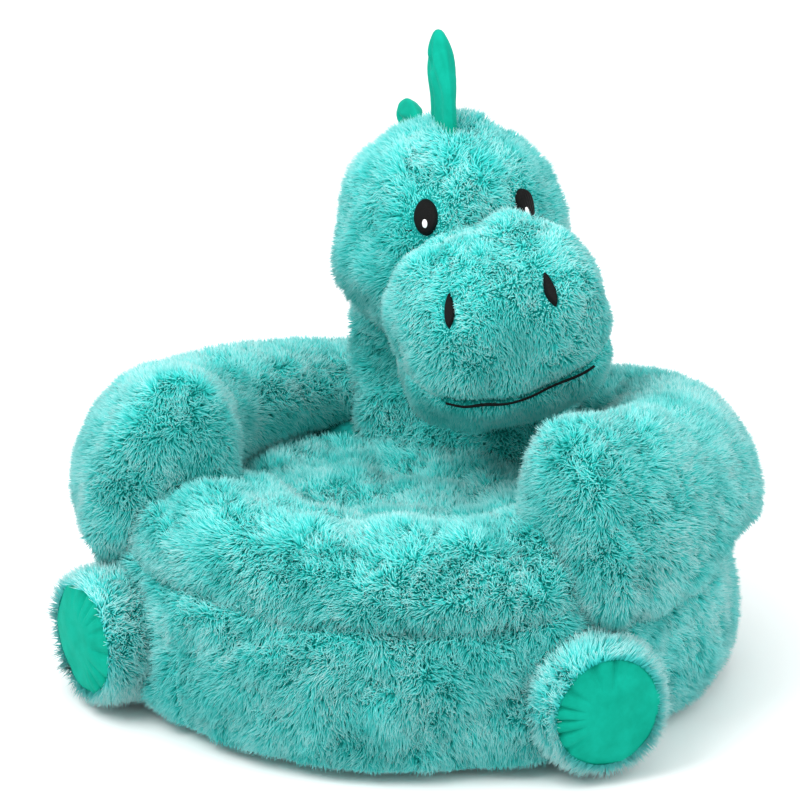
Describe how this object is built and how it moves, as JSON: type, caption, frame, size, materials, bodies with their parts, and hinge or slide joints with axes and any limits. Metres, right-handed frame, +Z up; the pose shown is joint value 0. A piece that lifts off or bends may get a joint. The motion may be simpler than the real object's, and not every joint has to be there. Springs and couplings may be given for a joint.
{
  "type": "plush dinosaur armchair",
  "caption": "Round stuffed toddler seat in long pile plush with bolster arms, a dinosaur head on a turning neck, a crest of velour spikes and two feet.",
  "frame": {"origin": "middle of the round base where it rests on the floor", "axes": "+Z up, -Y towards the front of the seat, +X to the sitter's left"},
  "size_m": [0.5018, 0.4572, 0.4587],
  "materials": {
    "long_pile_plush": "long soft pile, strong sheen",
    "green_velour": "short smooth pile",
    "black_embroidery": "satin stitch",
    "white_embroidery": "satin stitch",
    "polyester_fibre": "loose fibre",
    "foam": "open-cell foam",
    "plain_cloth": "plain weave",
    "zip_plastic": "coil",
    "zip_metal": "enamelled"
  },
  "bodies": {
    "chair": {"bottom_cloth": "plain_cloth", "zip_tape": "plain_cloth", "zip_coil": "zip_plastic", "base_foam": "foam", "base_side_cover": "long_pile_plush", "seat_roll_fibre": "polyester_fibre", "seat_roll_cover": "long_pile_plush", "seat_pit_cover": "long_pile_plush", "arm_left_fibre": "polyester_fibre", "arm_left_cover": "long_pile_plush", "arm_left_end_panel": "long_pile_plush", "arm_right_fibre": "polyester_fibre", "arm_right_cover": "long_pile_plush", "arm_right_end_panel": "long_pile_plush", "chest_fibre": "polyester_fibre", "chest_panel": "long_pile_plush", "back_panel": "long_pile_plush"},
    "zip_slider": {"zip_slider": "zip_metal"},
    "neck": {"neck_fibre": "polyester_fibre", "neck_collar": "long_pile_plush"},
    "head": {"head_fibre": "polyester_fibre", "head_cover": "long_pile_plush", "snout_fibre": "polyester_fibre", "snout_cover": "long_pile_plush", "jaw_cover": "long_pile_plush", "mouth_line": "black_embroidery", "eye_left": "black_embroidery", "eye_right": "black_embroidery", "eye_glint_left": "white_embroidery", "eye_glint_right": "white_embroidery", "nostril_left": "black_embroidery", "nostril_right": "black_embroidery"},
    "spike_front": {"spike_front_cover": "green_velour", "spike_front_fibre": "polyester_fibre"},
    "spike_middle": {"spike_middle_cover": "green_velour", "spike_middle_fibre": "polyester_fibre"},
    "spike_rear": {"spike_rear_cover": "green_velour", "spike_rear_fibre": "polyester_fibre"},
    "foot_left": {"foot_left_cover": "long_pile_plush", "foot_left_fibre": "polyester_fibre", "foot_left_sole": "green_velour"},
    "foot_right": {"foot_right_cover": "long_pile_plush", "foot_right_fibre": "polyester_fibre", "foot_right_sole": "green_velour"}
  },
  "joints": [
    {"name": "head_turn", "type": "hinge", "parent": "chair", "child": "neck", "pos_m": [-0.008, 0.131, 0.224], "axis": [0, 0, 1], "range_deg": [-42, 6], "stiffness_Nm_per_rad": 1.2},
    {"name": "head_nod", "type": "hinge", "parent": "neck", "child": "head", "pos_m": [-0.008, 0.131, 0.224], "axis": [0.848, 0.5299, 0], "range_deg": [-10, 6], "stiffness_Nm_per_rad": 12},
    {"name": "spike_front_bend", "type": "hinge", "parent": "head", "child": "spike_front", "pos_m": [-0.02063, 0.12026, 0.3984], "axis": [-0.5235, 0.8492, -0.0695], "range_deg": [-25, 25], "stiffness_Nm_per_rad": 0.12},
    {"name": "spike_middle_bend", "type": "hinge", "parent": "head", "child": "spike_middle", "pos_m": [-0.0576, 0.18729, 0.35082], "axis": [-0.2009, 0.464, -0.8627], "range_deg": [-25, 25], "stiffness_Nm_per_rad": 0.12},
    {"name": "spike_rear_bend", "type": "hinge", "parent": "head", "child": "spike_rear", "pos_m": [-0.05887, 0.19995, 0.28639], "axis": [0.1648, -0.1018, -0.9811], "range_deg": [-25, 25], "stiffness_Nm_per_rad": 0.12},
    {"name": "foot_left_lift", "type": "hinge", "parent": "chair", "child": "foot_left", "pos_m": [-0.17758, -0.1438, 0.0515], "axis": [-0.6293, 0.7771, 0], "range_deg": [0, 16], "stiffness_Nm_per_rad": 2.5},
    {"name": "foot_right_lift", "type": "hinge", "parent": "chair", "child": "foot_right", "pos_m": [0.17758, -0.1438, 0.0515], "axis": [-0.6293, -0.7771, 0], "range_deg": [0, 16], "stiffness_Nm_per_rad": 2.5},
    {"name": "zip_slide", "type": "slide", "parent": "chair", "child": "zip_slider", "axis": [1, 0, 0], "range_m": [-0.214, 0]}
  ]
}
